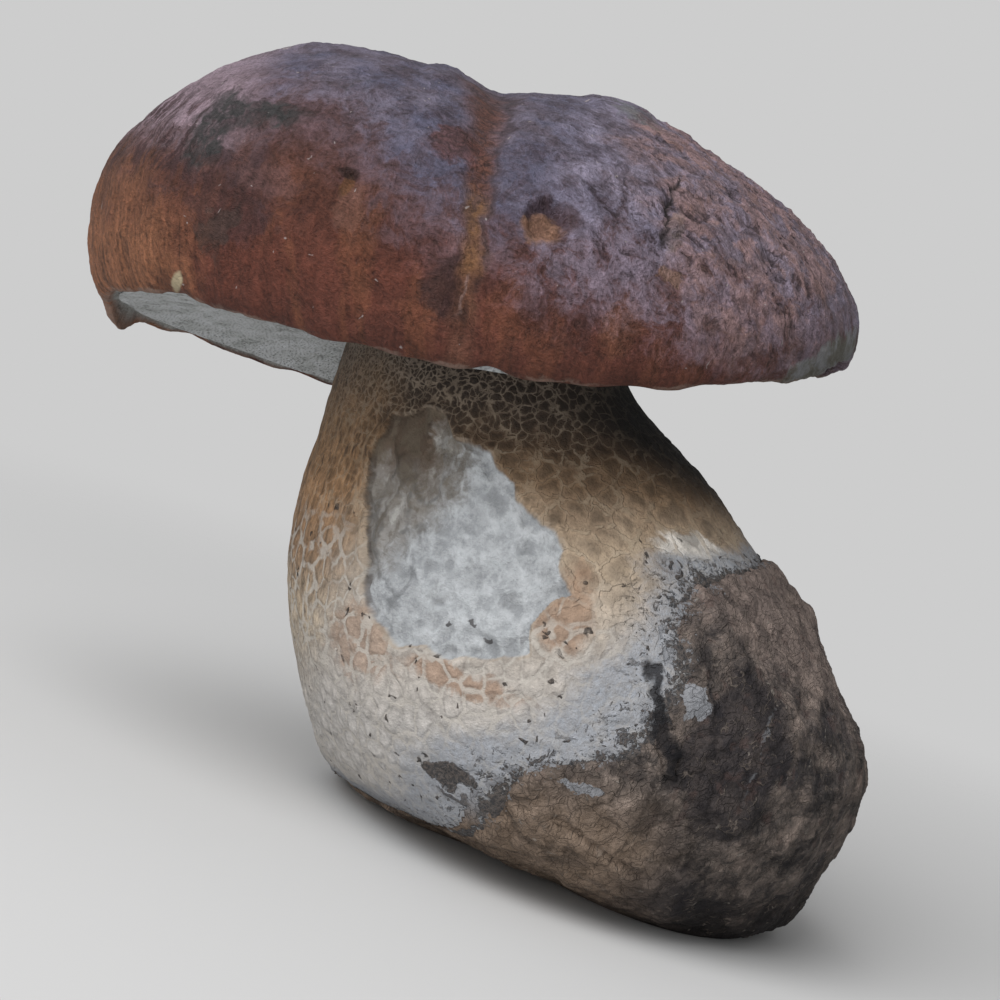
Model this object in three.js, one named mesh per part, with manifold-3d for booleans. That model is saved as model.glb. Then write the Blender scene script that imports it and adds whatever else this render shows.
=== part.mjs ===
// A picked porcini mushroom, standing on the earthy flat of its swollen stem.
// Four pieces that part from each other in the hand: the skinned cap, the spongy layer of tubes under it,
// the stem with its raised net, and the crust of soil stuck to the stem's foot.
// Millimetres, +Z up. The origin lies on the flat that it stands on, and +X points away from the side that
// the stem leans to. The eaten side faces -Y.

import * as THREE from "three";
import { mergeVertices } from "three/addons/utils/BufferGeometryUtils.js";
import Module from "manifold-3d";

const wasm = await Module();
wasm.setup();

// Driving dimensions
const CAP_HALF_LENGTH = 61.7; // along the cap's own X, so the cap is 123 mm across
const CAP_HALF_DEPTH = 49;
const CAP_TOP = 39.6; // the crown above the middle of the rim's ends
const CAP_CENTRE = [-45.4, 0, 77.2]; // the middle of the rim
const CAP_LEAN = THREE.MathUtils.degToRad(11); // the rim rises towards +X
const CAP_TIP_BACK = THREE.MathUtils.degToRad(4.5); // the rim rises towards the front, -Y
const TUBES_TOP = 6; // where the tubes meet the cap's flesh, in the cap's frame
const TUBES_INSET = 1.4; // the cap's lip that shows round the pores
const STEM_TOP = 9; // how far the stem's flesh runs up into the cap, in the cap's frame
const NET_DEPTH = 0.9;
const NET_COLUMNS = 96; // a multiple of 3, so that the net closes round the stem
const NET_ROWS = 42;
const NET_WANDER = 0.22; // how far its vertices stray, as a share of their spacing
const SOIL_BED = 1.5; // how far the stem's skin lies in where soil covers it
const SOIL_RAISE = 0.7; // how far the crust stands out
const SOIL_UNDER = 2; // the crust's thickness beneath the foot
const GAP = 0.3; // between pieces that touch

// A smooth curve through [position, value] pairs, held level beyond its ends.
function through(points) {
  const slope = points.map((p, i) => {
    const before = points[Math.max(i - 1, 0)];
    const after = points[Math.min(i + 1, points.length - 1)];
    return (after[1] - before[1]) / (after[0] - before[0]);
  });
  return (at) => {
    if (at <= points[0][0]) return points[0][1];
    if (at >= points.at(-1)[0]) return points.at(-1)[1];
    const i = points.findIndex((p) => p[0] > at) - 1;
    const [x0, y0] = points[i];
    const [x1, y1] = points[i + 1];
    const h = x1 - x0;
    const t = (at - x0) / h;
    return (
      y0 * (1 + 2 * t) * (1 - t) ** 2 +
      slope[i] * h * t * (1 - t) ** 2 +
      y1 * t * t * (3 - 2 * t) +
      slope[i + 1] * h * t * t * (t - 1)
    );
  };
}

// The same, over azimuths in degrees, closing on itself
function round(points) {
  const [first, second] = points;
  const last = points.at(-1);
  const curve = through([[last[0] - 360, last[1]], ...points, [first[0] + 360, first[1]], [second[0] + 360, second[1]]]);
  return (azimuth) => curve(((THREE.MathUtils.radToDeg(azimuth) - first[0] + 720) % 360) + first[0]);
}

const bump = (...offsets) => Math.exp(-offsets.reduce((sum, o) => sum + o * o, 0));
const mix = THREE.MathUtils.lerp;
const smooth = THREE.MathUtils.smoothstep;

// A closed body: a sphere's grid of columns and rows, each vertex put where place(azimuth, row, column) says.
// Row 0 is the top pole and the last row the bottom pole.
function grown(columns, rows, place) {
  const geometry = new THREE.SphereGeometry(1, columns, rows);
  const position = geometry.getAttribute("position");
  for (let row = 0; row <= rows; row++) {
    for (let column = 0; column <= columns; column++) {
      const isPole = row === 0 || row === rows;
      const turn = isPole ? 0 : (column % columns) / columns;
      const point = place(2 * Math.PI * turn, row, isPole ? 0 : column % columns);
      position.setXYZ(row * (columns + 1) + column, ...point);
    }
  }
  return geometry;
}

function solid(geometry) {
  const bare = geometry.index ? geometry.toNonIndexed() : geometry.clone();
  bare.deleteAttribute("normal");
  bare.deleteAttribute("uv");
  const merged = mergeVertices(bare, 1e-4);
  return new wasm.Manifold(
    new wasm.Mesh({
      numProp: 3,
      vertProperties: merged.attributes.position.array,
      triVerts: new Uint32Array(merged.index.array),
    }),
  );
}

// The largest body of a cut solid, as a named mesh.
function piece(name, cut, material) {
  const body = cut.decompose().sort((a, b) => b.volume() - a.volume())[0];
  const { vertProperties, triVerts } = body.getMesh();
  const geometry = new THREE.BufferGeometry();
  geometry.setAttribute("position", new THREE.BufferAttribute(new Float32Array(vertProperties), 3));
  geometry.setIndex(new THREE.BufferAttribute(new Uint32Array(triVerts), 1));
  geometry.computeVertexNormals();
  const mesh = new THREE.Mesh(geometry, material);
  mesh.name = name;
  return mesh;
}

// The cap's own frame, whose plane holds the ends of the rim
const capFrame = new THREE.Matrix4()
  .makeTranslation(...CAP_CENTRE)
  .multiply(new THREE.Matrix4().makeRotationY(-CAP_LEAN))
  .multiply(new THREE.Matrix4().makeRotationX(-CAP_TIP_BACK));

const fromCap = (x, y, z) => new THREE.Vector3(x, y, z).applyMatrix4(capFrame).toArray();

// Half-length and half-depth as one radius at an azimuth
const oval = (azimuth, length, depth) => 1 / Math.hypot(Math.cos(azimuth) / length, Math.sin(azimuth) / depth);

// How much an azimuth faces +X, from 0 at -X to 1
const facesRight = (azimuth) => (1 + Math.cos(azimuth)) / 2;

// The rim's height over the cap's plane: it hangs at front and back, lowest behind on the left.
const rimHeight = round([
  [-180, -1], [-150, -1], [-120, -5], [-90, -7.8], [-60, -7.6], [-30, -3], [0, 1], [30, 1], [60, -2],
  [90, -6], [120, -8], [150, -4],
]);
const widestAboveRim = (azimuth) => mix(12, 7, facesRight(azimuth));
const tuckedIn = (azimuth) => mix(4.2, 3, facesRight(azimuth));
const capRadius = (azimuth) =>
  oval(azimuth, CAP_HALF_LENGTH, CAP_HALF_DEPTH * mix(0.92, 1.03, facesRight(azimuth))) *
  (1 + 0.012 * Math.sin(3 * azimuth + 0.6) + 0.008 * Math.sin(5 * azimuth));
const rimRadius = (azimuth) => capRadius(azimuth) - tuckedIn(azimuth);

// Two low crowns with a saddle between them, and the crease that runs from the saddle down the front.
function capSwell(x, y) {
  const leftCrown = 5 * bump((x + 29.5) / 19, (y + 2) / 32);
  const rightCrown = 2.4 * bump((x - 23) / 12, (y - 4) / 24);
  const saddle = -0.9 * bump((x - 3) / 10, y / 30);
  const crease = -1.5 * bump((x - 0.5 + 0.03 * y) / 3.4) * smooth(-y, -4, 14) * smooth(58 + y, 0, 14);
  return leftCrown + rightCrown + saddle + crease;
}

const DOME_ROWS = 14;
const TUCK_ROWS = 5;
const CAP_COLUMNS = 72;

// Where an animal has bitten a round pit into the cap's front, as the middle of a ball that the bite follows
const BITE_CENTRE = [-39.7, -45.6, 97.4];
const BITE_RADIUS = 4;

// The cap's skin from the crown to the rim, then in behind its lip, where the tubes are cut out of it.
function capPoint(azimuth, row) {
  const fullness = mix(2.4, 1.8, facesRight(azimuth));
  const radius = capRadius(azimuth);
  const rim = rimHeight(azimuth);
  const widest = rim + widestAboveRim(azimuth);
  if (row > DOME_ROWS + TUCK_ROWS + 1) return fromCap(0, 0, 5);
  if (row > DOME_ROWS + TUCK_ROWS) {
    const behindLip = rimRadius(azimuth) - 0.7 * TUBES_INSET;
    return fromCap(behindLip * Math.cos(azimuth), behindLip * Math.sin(azimuth), rim + 2);
  }
  if (row > DOME_ROWS) {
    const angle = ((row - DOME_ROWS) / TUCK_ROWS) * (Math.PI / 2);
    const out = radius - tuckedIn(azimuth) * (1 - Math.cos(angle));
    const height = widest - widestAboveRim(azimuth) * Math.sin(angle);
    return fromCap(out * Math.cos(azimuth), out * Math.sin(azimuth), height);
  }
  const angle = (row / DOME_ROWS) * (Math.PI / 2);
  const out = radius * Math.sin(angle) ** (2 / fullness);
  const x = out * Math.cos(azimuth);
  const y = out * Math.sin(azimuth);
  const rise = Math.cos(angle) ** (2 / fullness);
  return fromCap(x, y, widest + (CAP_TOP - widest) * rise + capSwell(x, y) * Math.min(1, 1.6 * rise));
}

const TUBE_FACE_ROWS = 6;
const TUBE_COLUMNS = 48;

// The tube layer: flat where it meets the flesh, and following the rim below, with the pores a little way in.
function tubePoint(azimuth, row, grow) {
  const radius = rimRadius(azimuth) - TUBES_INSET + grow;
  const at = (share, height) =>
    fromCap(radius * share * Math.cos(azimuth), radius * share * Math.sin(azimuth), height);
  if (row === 0) return at(0, TUBES_TOP + grow);
  if (row === 1) return at(0.97, TUBES_TOP + grow);
  const share = 1 - (row - 2) / TUBE_FACE_ROWS;
  const swell = 1.6 * Math.sin(Math.PI * share) ** 2;
  return at(share, rimHeight(azimuth) * share ** 1.5 + 1.5 - swell - grow);
}

// The stem in level slices: where each one's sides stand, and how deep it is from front to back.
const stemLeft = through([
  [-4, -26], [0, -33], [2.4, -40.6], [6.4, -47.2], [11.4, -51.4], [17, -55.2], [29, -60.2], [44, -62.7],
  [57, -63.1], [71, -63.2], [92, -62],
]);
const stemRight = through([
  [-4, 25], [0, 29.4], [4, 32.6], [9, 33.6], [15, 35.4], [22, 36.3], [31, 35], [40, 30.2], [47, 24.9], [52, 20.2],
  [56.5, 13], [61, 6.4], [66, 0], [74.6, -14.6], [80, -20.5], [92, -30],
]);
const stemHalfDepth = through([
  [-4, 20], [0, 27], [6, 37], [14, 43], [24, 46], [36, 44.5], [48, 39], [60, 32], [72, 26], [82, 22.5], [92, 20],
]);
const stemMiddleY = through([[-4, 7], [10, 5], [30, 4], [60, 1.5], [80, 0], [92, 0]]);

// The turn from one azimuth to another, at most half a turn either way
const turnBetween = (a, b) => Math.atan2(Math.sin(a - b), Math.cos(a - b));

// The stem's skin before its net, moved out by grow.
function stemPoint(azimuth, z, grow = 0) {
  const left = stemLeft(z);
  const right = stemRight(z);
  const along = Math.cos(azimuth);
  const across = Math.sin(azimuth);
  const deepAtRight = 1 + 0.16 * along * smooth(70 - z, 0, 40);
  const heel = 9 * bump(turnBetween(azimuth, 2.6) / 0.55, (z + 1) / 7);
  const tuck = -15 * bump(turnBetween(azimuth, -2) / 0.65, (z + 2) / 5);
  const lumps = 0.9 * Math.sin(3 * azimuth + z / 11) * smooth(60 - z, 0, 30);
  const out = grow + lumps + heel + tuck;
  return [
    (left + right) / 2 + ((right - left) / 2 + out) * along,
    stemMiddleY(z) + (stemHalfDepth(z) * deepAtRight + out) * across,
    z,
  ];
}

// The soil's edge, as X at each height: the mushroom grew out of a steep bank, so the edge climbs in steps
// from the foot at -X to the shoulder at +X.
const soilEdge = through([
  [0, -48], [2, -42], [4, -30], [6, -23.5], [9, -20.5], [15, -20.5], [19, -18], [22.5, -14.5], [25, -8.5],
  [28, -4.5], [33, -1.8], [40, 0], [47, -2.5], [53, -1.5], [55.5, 3], [57, 9], [60, 19],
]);

// How far past the soil's edge a point of the stem lies, in mm
function inSoil([x, y, z]) {
  const behind = smooth(y, -25, 15);
  const wander = behind * (4 * Math.sin(y / 9 + 1) + 2 * Math.sin(y / 4 - z / 7));
  return x - soilEdge(z) + wander;
}

// The eaten patch on the front of the stem, where the net is gone: 1 inside it, 0 outside. Each curve gives X at a height.
const eatenLeft = through([[31, -38], [33, -45.5], [44, -50.1], [53, -53.3], [62, -51.8], [66, -46]]);
const eatenRight = through([
  [31, -38], [33, -30], [37, -22.3], [40, -22.6], [47, -19.1], [54, -22.4], [58, -30.6], [62.4, -36.4], [66, -46],
]);
function eaten([x, y, z]) {
  return y > 0 ? 0 : smooth(Math.min(x - eatenLeft(z), eatenRight(z) - x), -0.8, 1.4);
}
const EATEN_DEPTH = 1.4;

const STEM_FOOT = -2.5;
const STEM_HEAD = 92;
const NECK = 79; // the net starts just inside the cap
const ROWS_IN_CAP = 3;

// A row's height: the rows are closer together towards the neck, where the stem is thin and its net is fine.
function rowHeight(row, rows) {
  if (row <= ROWS_IN_CAP) return mix(STEM_HEAD, NECK, (row - 1) / (ROWS_IN_CAP - 1));
  return mix(NECK, STEM_FOOT, ((row - ROWS_IN_CAP) / (rows - 1 - ROWS_IN_CAP)) ** 1.25);
}

// A number from -1 to 1 that looks random, and is the same each time for a row and column
function stray(row, column, seed) {
  const n = Math.sin(row * 12.9898 + column * 78.233 + seed * 37.719) * 43758.5453;
  return 2 * (n - Math.floor(n)) - 1;
}

function stemGrid(columns, rows, offset) {
  return grown(columns, rows, (azimuth, row, column) => {
    if (row === 0 || row === rows) {
      const z = row === 0 ? STEM_HEAD : STEM_FOOT;
      return [(stemLeft(z) + stemRight(z)) / 2, stemMiddleY(z), z];
    }
    const isWhole = row === 1 || row === rows - 1;
    const wander = isWhole ? 0 : NET_WANDER;
    const spacing = Math.abs(rowHeight(row + 1, rows) - rowHeight(row, rows));
    const z = rowHeight(row, rows) + wander * spacing * stray(row, column, 1);
    const turned = azimuth - (Math.PI * row) / columns + (2 * Math.PI * wander * stray(row, column, 2)) / columns;
    return stemPoint(turned, z, offset(stemPoint(turned, z), row, column));
  });
}

// The raised net: the grid's vertices fall into three sets, each one's neighbours all in the other two.
// Sinking one set leaves a six-sided pit round each of its vertices, with the ridges of the net between them.
function netted(point, row, column) {
  const buried = smooth(inSoil(point), -1.5, 1);
  const bare = eaten(point);
  const isPit = (row + column) % 3 === 0;
  return -SOIL_BED * buried - EATEN_DEPTH * bare - (isPit ? NET_DEPTH * (1 - buried) * (1 - bare) : 0);
}

// A crust over the buried skin: outside its edge it dives under the skin, so that its bed cuts it off there.
function crusted(point) {
  const covered = smooth(inSoil(point), -1, 2.5);
  const [x, y, z] = point;
  const clods = 0.5 * Math.sin(x / 3.3 + y / 5) * Math.sin(y / 3.7 - z / 4.1) + 0.4 * Math.sin(z / 2.6 + x / 5.7);
  return mix(-3, SOIL_RAISE + clods, covered);
}

const SLAB = 200;
function slabAbove(z) {
  return new THREE.BoxGeometry(SLAB, SLAB, SLAB).translate(0, 0, z + SLAB / 2);
}
const belowFoot = (z) => solid(new THREE.BoxGeometry(2 * SLAB, 2 * SLAB, SLAB).translate(0, 0, z - SLAB / 2));
const aboveStemTop = (z) => solid(slabAbove(z).applyMatrix4(capFrame));

const CUTTER_COLUMNS = 48;
const CUTTER_ROWS = 22;
const stemRoom = solid(stemGrid(CUTTER_COLUMNS, CUTTER_ROWS, () => 2 * GAP)).subtract(aboveStemTop(STEM_TOP + GAP));

const tubeRows = TUBE_FACE_ROWS + 2;
const tubeDisc = (grow) =>
  solid(grown(TUBE_COLUMNS, tubeRows, (azimuth, row) => tubePoint(azimuth, row, grow)));
const capRows = DOME_ROWS + TUCK_ROWS + 2;
const bite = solid(new THREE.SphereGeometry(BITE_RADIUS, 18, 12).translate(...BITE_CENTRE));
const capSolid = solid(grown(CAP_COLUMNS, capRows, capPoint))
  .subtract(tubeDisc(GAP))
  .subtract(stemRoom)
  .subtract(bite);
const tubesSolid = tubeDisc(0).subtract(stemRoom);
const stemSolid = solid(stemGrid(NET_COLUMNS, NET_ROWS, netted))
  .subtract(aboveStemTop(STEM_TOP))
  .subtract(belowFoot(SOIL_UNDER + GAP));

const SOIL_COLUMNS = 66;
const SOIL_ROWS = 34;
const soilBed = solid(stemGrid(NET_COLUMNS, NET_ROWS, (...at) => netted(...at) + GAP)).subtract(
  belowFoot(SOIL_UNDER),
);
const soilSolid = solid(stemGrid(SOIL_COLUMNS, SOIL_ROWS, crusted)).subtract(soilBed).subtract(belowFoot(0));

// Materials
const capSkin = new THREE.MeshStandardMaterial({ color: 0x6b4233, roughness: 0.55, metalness: 0 });
const pores = new THREE.MeshStandardMaterial({ color: 0xa8a8a2, roughness: 0.85, metalness: 0 });
const stemFlesh = new THREE.MeshStandardMaterial({ color: 0xb39c82, roughness: 0.8, metalness: 0 });
const earth = new THREE.MeshStandardMaterial({ color: 0x4a413a, roughness: 0.95, metalness: 0 });

const mushroom = new THREE.Group();
mushroom.add(piece("cap", capSolid, capSkin));
mushroom.add(piece("tube_layer", tubesSolid, pores));
mushroom.add(piece("stem", stemSolid, stemFlesh));
mushroom.add(piece("soil_crust", soilSolid, earth));

export default mushroom;
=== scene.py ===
# A picked porcini mushroom that stands on the earthy flat of its swollen stem, its eaten side to the front
import math
import bmesh
import bpy
import numpy as np
from mathutils import Matrix, Vector


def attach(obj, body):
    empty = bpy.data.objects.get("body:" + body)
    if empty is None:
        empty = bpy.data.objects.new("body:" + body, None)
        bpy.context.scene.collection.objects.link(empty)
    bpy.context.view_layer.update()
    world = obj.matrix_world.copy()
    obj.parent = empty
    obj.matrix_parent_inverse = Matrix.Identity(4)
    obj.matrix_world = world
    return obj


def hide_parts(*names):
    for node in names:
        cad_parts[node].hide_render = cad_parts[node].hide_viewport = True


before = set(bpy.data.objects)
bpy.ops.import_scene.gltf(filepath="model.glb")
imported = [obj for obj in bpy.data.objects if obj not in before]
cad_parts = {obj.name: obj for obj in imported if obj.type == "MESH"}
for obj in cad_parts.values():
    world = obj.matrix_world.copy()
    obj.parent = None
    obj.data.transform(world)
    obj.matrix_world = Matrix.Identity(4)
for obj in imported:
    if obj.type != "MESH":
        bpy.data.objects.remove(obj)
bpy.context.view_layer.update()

# Stem: firm, swollen and solid, pale flesh under a thin skin that is dark brown below the cap and pales
# downwards. Over the skin runs a raised net that grew with it, fine at the neck and wide on the belly.
# An animal has eaten a shallow patch out of its front.


def through(*points):
    """A smooth curve through (position, value) pairs, held level beyond its ends"""
    at, value = (np.array(part, float) for part in zip(*points))
    slope = np.gradient(value)
    slope[1:-1] = (value[2:] - value[:-2]) / (at[2:] - at[:-2])
    slope[0] = (value[1] - value[0]) / (at[1] - at[0])
    slope[-1] = (value[-1] - value[-2]) / (at[-1] - at[-2])

    def curve(x):
        x = np.clip(x, at[0], at[-1])
        i = np.clip(np.searchsorted(at, x, side="right") - 1, 0, len(at) - 2)
        h = at[i + 1] - at[i]
        t = (x - at[i]) / h
        before = value[i] * (1 + 2 * t) * (1 - t) ** 2 + slope[i] * h * t * (1 - t) ** 2
        return before + value[i + 1] * t * t * (3 - 2 * t) + slope[i + 1] * h * t * t * (t - 1)

    return curve


def ease(x, low, high):
    """0 below low, 1 above high, and smooth between them"""
    t = np.clip((x - low) / (high - low), 0, 1)
    return t * t * (3 - 2 * t)


def swell(*offsets):
    """1 in the middle of a soft mound, falling to 0 a few widths away"""
    return np.exp(-sum(offset**2 for offset in offsets))


def turn_between(a, b):
    """The angle from b to a, by the shorter way round"""
    return np.arctan2(np.sin(a - b), np.cos(a - b))


STEM_HEAD = 86  # mm, the height of the stem's top in the cap's flesh
STEM_FOOT = 2.3
POLE = 0.01  # the share of the rows that closes each end of the stem and of the crust
stem_left = through(
    (-4, -26), (0, -33), (2.4, -40.6), (6.4, -47.2), (11.4, -51.4), (17, -55.2), (29, -60.2), (44, -62.7),
    (57, -63.1), (71, -63.2), (92, -62),
)
stem_right = through(
    (-4, 25), (0, 29.4), (4, 32.6), (9, 33.6), (15, 35.4), (22, 36.3), (31, 35), (40, 30.2), (47, 24.9),
    (52, 20.2), (56.5, 13), (61, 6.4), (66, 0), (74.6, -14.6), (80, -20.5), (92, -30),
)
stem_half_depth = through(
    (-4, 20), (0, 27), (6, 37), (14, 43), (24, 46), (36, 44.5), (48, 39), (60, 32), (72, 26), (82, 22.5),
    (92, 20),
)
stem_middle_y = through((-4, 7), (10, 5), (30, 4), (60, 1.5), (80, 0), (92, 0))


def stem_skin(azimuth, z, spread, out):
    """The stem's form in level slices: spread draws a slice in to its middle, out moves the skin outwards"""
    left = stem_left(z)
    right = stem_right(z)
    along = np.cos(azimuth)
    across = np.sin(azimuth)
    deep_at_right = 1 + 0.16 * along * ease(70 - z, 0, 40)
    heel = 9 * swell(turn_between(azimuth, 2.6) / 0.55, (z + 1) / 7)
    tuck = -15 * swell(turn_between(azimuth, -2) / 0.65, (z + 2) / 5)
    lumps = 0.9 * np.sin(3 * azimuth + z / 11) * ease(60 - z, 0, 30)
    out = out + lumps + heel + tuck
    x = (left + right) / 2 + spread * ((right - left) / 2 + out) * along
    y = stem_middle_y(z) + spread * (stem_half_depth(z) * deep_at_right + out) * across
    return np.stack([x, y, z + 0 * x], axis=1)


def grown(name, columns, rows, place):
    """A closed skin: a ball whose vertices move to where place(azimuth, share of the way down) says, in mm"""
    bm = bmesh.new()
    bmesh.ops.create_uvsphere(bm, u_segments=columns // 4, v_segments=rows // 4, radius=1)
    bmesh.ops.subdivide_edges(bm, edges=bm.edges, cuts=3, use_grid_fill=True)
    mesh = bpy.data.meshes.new(name)
    bm.to_mesh(mesh)
    bm.free()
    ball = np.empty(len(mesh.vertices) * 3)
    mesh.vertices.foreach_get("co", ball)
    ball = ball.reshape(-1, 3)
    ball = ball / np.linalg.norm(ball, axis=1, keepdims=True)
    down = np.arccos(np.clip(ball[:, 2], -1, 1)) / math.pi
    mm = place(np.arctan2(ball[:, 1], ball[:, 0]), down)
    mesh.vertices.foreach_set("co", (mm * 0.001).ravel())
    mesh.shade_smooth()
    piece = bpy.data.objects.new(name, mesh)
    bpy.context.scene.collection.objects.link(piece)
    return piece, mm


def note(piece, **fields):
    """Keeps what the script knows of each vertex with the mesh, for its relief and its material"""
    for name, values in fields.items():
        kind, key = ("FLOAT_VECTOR", "vector") if values.ndim == 2 else ("FLOAT", "value")
        piece.data.attributes.new(name, kind, "POINT").data.foreach_set(key, values.ravel())


# The soil's edge, as X at each height: it climbs in steps from the foot to the shoulder.
soil_edge = through(
    (0, -48), (2, -42), (4, -30), (6, -23.5), (9, -20.5), (15, -20.5), (19, -18), (22.5, -14.5), (25, -8.5),
    (28, -4.5), (33, -1.8), (40, 0), (47, -2.5), (53, -1.5), (55.5, 3), (57, 9), (60, 19),
)


def in_soil(mm):
    """How far past the soil's edge each point lies, in mm"""
    x, y, z = mm.T
    wander = ease(y, -25, 15) * (4 * np.sin(y / 9 + 1) + 2 * np.sin(y / 4 - z / 7))
    return x - soil_edge(z) + wander


def inside(outline, x, z):
    """How far inside a closed outline in the XZ plane each point lies, in mm; less than 0 outside it"""
    nearest = np.full(x.shape, 1e9)
    crossings = np.zeros(x.shape, int)
    for (x0, z0), (x1, z1) in zip(outline, outline[1:] + outline[:1]):
        along = ((x - x0) * (x1 - x0) + (z - z0) * (z1 - z0)) / ((x1 - x0) ** 2 + (z1 - z0) ** 2)
        along = np.clip(along, 0, 1)
        nearest = np.minimum(nearest, np.hypot(x - x0 - along * (x1 - x0), z - z0 - along * (z1 - z0)))
        if z0 != z1:
            crossings += ((z0 > z) != (z1 > z)) & (x < x0 + (z - z0) / (z1 - z0) * (x1 - x0))
    return np.where(crossings % 2, nearest, -nearest)


# The eaten patch's edge, as X and Z, from its top clockwise
EATEN_EDGE = [
    (-47.5, 65.2), (-44.1, 65.6), (-42, 62.8), (-36.4, 62.4), (-34.6, 60.6), (-31.5, 59.4), (-30.6, 57.2),
    (-28.2, 55.9), (-24, 54.9), (-21.6, 52.3), (-21.8, 50), (-19.1, 46.9), (-21.4, 45.3), (-22.9, 41),
    (-22.2, 36.9), (-28, 33.8), (-33.1, 32), (-37, 32.4), (-40.5, 31), (-45.5, 33.3), (-48.6, 37),
    (-50.1, 44.2), (-52.6, 52), (-53.4, 57), (-51.8, 62.3), (-49.5, 63.5),
]


def spread_and_share(down):
    """How far a row spreads from the middle, and its share of the way down once both ends are closed"""
    spread = np.clip(np.minimum(down, 1 - down) / POLE, 0, 1)
    return spread, np.clip((down - POLE) / (1 - 2 * POLE), 0, 1)


def stem_place(azimuth, down):
    spread, share = spread_and_share(down)
    return stem_skin(azimuth, STEM_HEAD + (STEM_FOOT - STEM_HEAD) * share**1.2, spread, 0)


stem, stem_mm = grown("stem_skin", 496, 196, stem_place)
in_front = ease(-stem_mm[:, 1], -4, 4)
note(
    stem,
    place=stem_mm,
    eaten=inside(EATEN_EDGE, stem_mm[:, 0], stem_mm[:, 2]) * in_front - 12 * (1 - in_front),
    buried=in_soil(stem_mm),
)


class Wire:
    """A node's output that arithmetic works on: each operator adds its Math node to the tree"""

    def __init__(self, tree, socket=None):
        self.tree = tree
        self.socket = socket

    def node(self, kind, settings=(), sockets=(), out=0):
        """Adds any node: its settings first, then the values or wires of its sockets"""
        made = self.tree.nodes.new(kind)
        for name, value in dict(settings).items():
            if name == "stops":
                elements = made.color_ramp.elements
                elements.remove(elements[1])
                for place, (position, colour) in enumerate(value):
                    element = elements.new(position) if place else elements[0]
                    element.position = position
                    element.color = colour
            else:
                setattr(made, name, value)
        for name, value in dict(sockets).items():
            if isinstance(value, Wire):
                self.tree.links.new(value.socket, made.inputs[name])
            else:
                made.inputs[name].default_value = value
        return Wire(self.tree, made.outputs[out])

    def maths(self, operation, *values):
        return self.node("ShaderNodeMath", {"operation": operation}, enumerate(values))

    def __add__(self, other):
        return self.maths("ADD", self, other)

    def __sub__(self, other):
        return self.maths("SUBTRACT", self, other)

    def __rsub__(self, other):
        return self.maths("SUBTRACT", other, self)

    def __mul__(self, other):
        return self.maths("MULTIPLY", self, other)

    def __truediv__(self, other):
        return self.maths("DIVIDE", self, other)

    def __rtruediv__(self, other):
        return self.maths("DIVIDE", other, self)

    def __neg__(self):
        return self.maths("MULTIPLY", self, -1.0)

    def __abs__(self):
        return self.maths("ABSOLUTE", self)

    __radd__ = __add__
    __rmul__ = __mul__

    def least(self, other):
        return self.maths("MINIMUM", self, other)

    def most(self, other):
        return self.maths("MAXIMUM", self, other)

    def ease(self, low, high):
        """0 below low, 1 above high, and smooth between them"""
        sockets = {"Value": self, "From Min": low, "From Max": high}
        return self.node("ShaderNodeMapRange", {"interpolation_type": "SMOOTHSTEP"}, sockets)

    def vector(self, operation, *values):
        return self.node("ShaderNodeVectorMath", {"operation": operation}, enumerate(values))

    def parts(self):
        made = self.node("ShaderNodeSeparateXYZ", (), {0: self}).socket.node
        return [Wire(self.tree, made.outputs[i]) for i in range(3)]


def known(tree, name, is_place=False):
    """What note() kept under a name, a number or a place"""
    if tree.bl_idname == "GeometryNodeTree":
        kind = "FLOAT_VECTOR" if is_place else "FLOAT"
        return Wire(tree).node("GeometryNodeInputNamedAttribute", {"data_type": kind}, {"Name": name})
    return Wire(tree).node("ShaderNodeAttribute", {"attribute_name": name}, (), 1 if is_place else 2)


def cloud(place, size, detail=3.0, roughness=0.55):
    """Soft noise about 0.5, with features about size mm across"""
    sockets = {"Vector": place, "Scale": 1 / size, "Detail": detail, "Roughness": roughness}
    return place.node("ShaderNodeTexNoise", (), sockets)


def wandered(place, size, reach):
    """The same place, strayed by up to reach mm in clouds of a size"""
    made = place.node("ShaderNodeTexNoise", (), {"Vector": place, "Scale": 1 / size, "Detail": 2.0}, 1)
    centred = made.vector("SUBTRACT", made, (0.5, 0.5, 0.5))
    return place.vector("ADD", place, centred.vector("MULTIPLY", centred, (2 * reach,) * 3))


def scaled(vector, by):
    """A place or a colour times a number or a wire"""
    return vector.node("ShaderNodeVectorMath", {"operation": "SCALE"}, {0: vector, "Scale": by})


def far(place):
    """The distance from the origin"""
    return place.node("ShaderNodeVectorMath", {"operation": "LENGTH"}, {0: place}, 1)


def stretched(place, x, y, z):
    """The same place, so that what follows is so many times longer each way"""
    return place.vector("MULTIPLY", place, (1 / x, 1 / y, 1 / z))


def drawn_out(place, direction, times):
    """The same place, so that what follows is longer along a direction"""
    along = place.node("ShaderNodeVectorMath", {"operation": "DOT_PRODUCT"}, {0: place, 1: direction}, 1)
    sockets = {0: direction, "Scale": along * (1 / times - 1)}
    pulled = place.node("ShaderNodeVectorMath", {"operation": "SCALE"}, sockets)
    return place.vector("ADD", place, pulled)


def cell_edge(place, size):
    """How far each place is from the wall between two cells, as a share of their size"""
    sockets = {"Vector": place, "Scale": 1 / size}
    return place.node("ShaderNodeTexVoronoi", {"feature": "DISTANCE_TO_EDGE"}, sockets)


def cell_middle(place, size, jitter=1.0):
    """How far each place is from its cell's middle, as a share of the cells' size"""
    sockets = {"Vector": place, "Scale": 1 / size, "Randomness": jitter}
    return place.node("ShaderNodeTexVoronoi", {"feature": "F1"}, sockets)


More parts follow.
